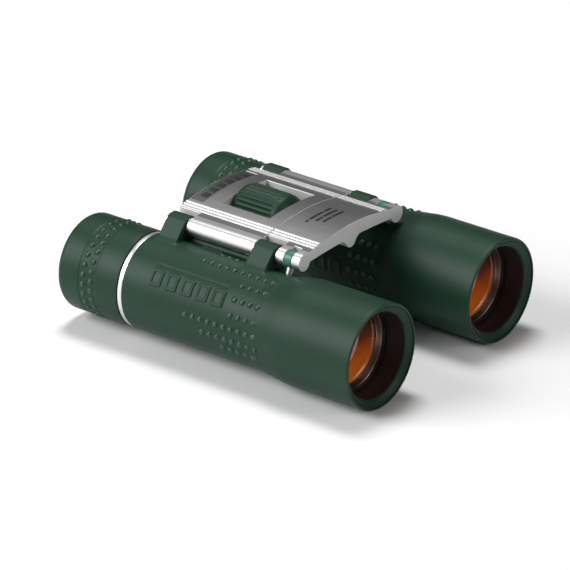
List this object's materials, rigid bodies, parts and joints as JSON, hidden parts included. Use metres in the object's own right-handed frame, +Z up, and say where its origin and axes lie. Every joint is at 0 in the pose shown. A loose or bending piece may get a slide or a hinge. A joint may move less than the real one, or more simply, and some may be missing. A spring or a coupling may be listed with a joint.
{
  "type": "compact folding binoculars",
  "caption": "Compact roof-prism binoculars with rubber-covered barrels that fold on a metal bridge, a centre focus wheel and a dioptre ring.",
  "frame": {"origin": "midway between the barrels and between their ends, on the surface the barrels rest on", "axes": "+Y is the viewing direction, from the eyepieces to the objectives; +Z is up, towards the bridge; +X is the viewer's right"},
  "size_m": [0.0974, 0.119, 0.0445],
  "materials": {
    "bridge_metal": "brushed, satin",
    "hinge_steel": "ground",
    "bright_metal": "polished",
    "green_rubber": "satin, moulded with grip nubs",
    "brass": "turned",
    "black_plastic": "matt",
    "black_metal": "matt black",
    "coated_glass": "orange anti-reflection coating",
    "glass": "clear",
    "green_ring": "satin"
  },
  "bodies": {
    "bridge": {"bridge_plate": "bridge_metal", "hinge_rod_left": "hinge_steel", "hinge_rod_right": "hinge_steel", "hinge_washers": "bright_metal", "hinge_screws": "bright_metal"},
    "focus_wheel": {"focus_wheel": "green_rubber", "focus_spindle": "hinge_steel", "wheel_set_screw": "hinge_steel", "spindle_clip": "bright_metal"},
    "focus_carriage": {"focus_plate": "bridge_metal", "focus_nut": "brass"},
    "left_barrel": {"barrel_shell_left": "black_plastic", "armour_left": "green_rubber", "trim_ring_left": "bright_metal", "prism_cage_left": "black_plastic", "prism_front_left": "glass", "prism_roof_left": "glass", "prism_plate_left": "black_metal", "eyepiece_sleeve_left": "black_plastic", "eyecup_left": "green_rubber", "ocular_tube_left": "black_metal", "field_stop_left": "black_metal", "field_lens_left": "glass", "eye_lens_left": "glass", "eye_retainer_left": "black_metal"},
    "left_objective": {"objective_cell_left": "black_metal", "crown_lens_left": "coated_glass", "flint_lens_left": "glass", "objective_retainer_left": "black_metal", "focus_pin_left": "bright_metal", "link_ring_left": "green_ring"},
    "right_barrel": {"barrel_shell_right": "black_plastic", "armour_right": "green_rubber", "trim_ring_right": "bright_metal", "prism_cage_right": "black_plastic", "prism_front_right": "glass", "prism_roof_right": "glass", "prism_plate_right": "black_metal", "ocular_guide_right": "black_plastic"},
    "right_objective": {"objective_cell_right": "black_metal", "crown_lens_right": "coated_glass", "flint_lens_right": "glass", "objective_retainer_right": "black_metal", "focus_pin_right": "bright_metal", "link_ring_right": "green_ring"},
    "diopter_ring": {"diopter_ring": "black_plastic", "eyecup_right": "green_rubber"},
    "right_ocular": {"ocular_tube_right": "black_metal", "field_stop_right": "black_metal", "field_lens_right": "glass", "eye_lens_right": "glass", "eye_retainer_right": "black_metal"}
  },
  "joints": [
    {"name": "left_barrel_fold", "type": "hinge", "parent": "bridge", "child": "left_barrel", "pos_m": [-0.02395, 0, 0.0368], "axis": [0, 1, 0], "range_deg": [-37, 19]},
    {"name": "right_barrel_fold", "type": "hinge", "parent": "bridge", "child": "right_barrel", "pos_m": [0.02395, 0, 0.0368], "axis": [0, -1, 0], "range_deg": [-37, 19]},
    {"name": "focus_turn", "type": "hinge", "parent": "bridge", "child": "focus_wheel", "pos_m": [0, 0, 0.0362], "axis": [0, 1, 0], "range_deg": [0, 360]},
    {"name": "focus_slide", "type": "slide", "parent": "bridge", "child": "focus_carriage", "axis": [0, 1, 0], "range_m": [0, 0.0035]},
    {"name": "left_objective_slide", "type": "slide", "parent": "left_barrel", "child": "left_objective", "axis": [0, 1, 0], "range_m": [0, 0.0035]},
    {"name": "right_objective_slide", "type": "slide", "parent": "right_barrel", "child": "right_objective", "axis": [0, 1, 0], "range_m": [0, 0.0035]},
    {"name": "diopter_turn", "type": "hinge", "parent": "right_barrel", "child": "diopter_ring", "pos_m": [0.03125, 0, 0.0175], "axis": [0, 1, 0], "range_deg": [-40, 40]},
    {"name": "right_ocular_slide", "type": "slide", "parent": "right_barrel", "child": "right_ocular", "axis": [0, 1, 0], "range_m": [-0.0012, 0.0012]}
  ],
  "couplings": [
    {"joint": "focus_turn", "follows": "focus_slide", "rad_per_m": 1795.2},
    {"joint": "left_objective_slide", "follows": "focus_slide", "ratio": 1},
    {"joint": "right_objective_slide", "follows": "focus_slide", "ratio": 1},
    {"joint": "diopter_turn", "follows": "right_ocular_slide", "rad_per_m": 581.77}
  ]
}
